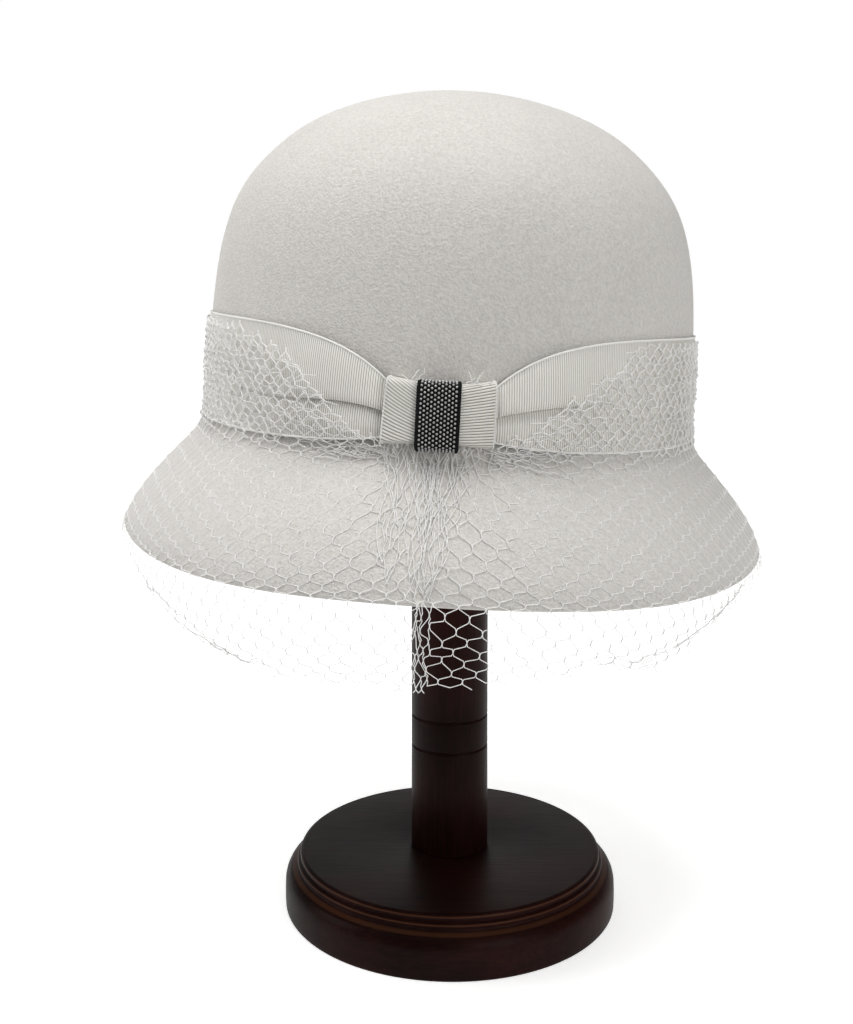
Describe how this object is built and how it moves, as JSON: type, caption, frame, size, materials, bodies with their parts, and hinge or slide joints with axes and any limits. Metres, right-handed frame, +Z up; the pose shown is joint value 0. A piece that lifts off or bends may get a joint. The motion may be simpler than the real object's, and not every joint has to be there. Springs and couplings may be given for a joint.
{
  "type": "cloche hat on hat stand",
  "caption": "Felt cloche hat with a drooping flared brim, a ribbed ribbon band gathered into a flat beaded bow and a net veil over the brim, on a turned wooden hat stand.",
  "frame": {"origin": "centre of the stand's underside", "axes": "+Z up along the post; the bow at the front of the hat faces -Y, and +X is to the right seen from the front"},
  "size_m": [0.2222, 0.2481, 0.2895],
  "materials": {
    "felt": "matte off-white wool felt",
    "ribbon": "cream ribbed ribbon",
    "bead_trim": "black cloth set with fine silver beads",
    "net": "white net",
    "dark_wood": "dark stain, satin lacquer"
  },
  "bodies": {
    "root": {"felt_hood": "felt", "hat_band": "ribbon", "bow_knot": "ribbon", "bead_wrap": "bead_trim", "veil": "net", "stand_base": "dark_wood", "stand_post": "dark_wood", "stand_head": "dark_wood"}
  },
  "joints": []
}
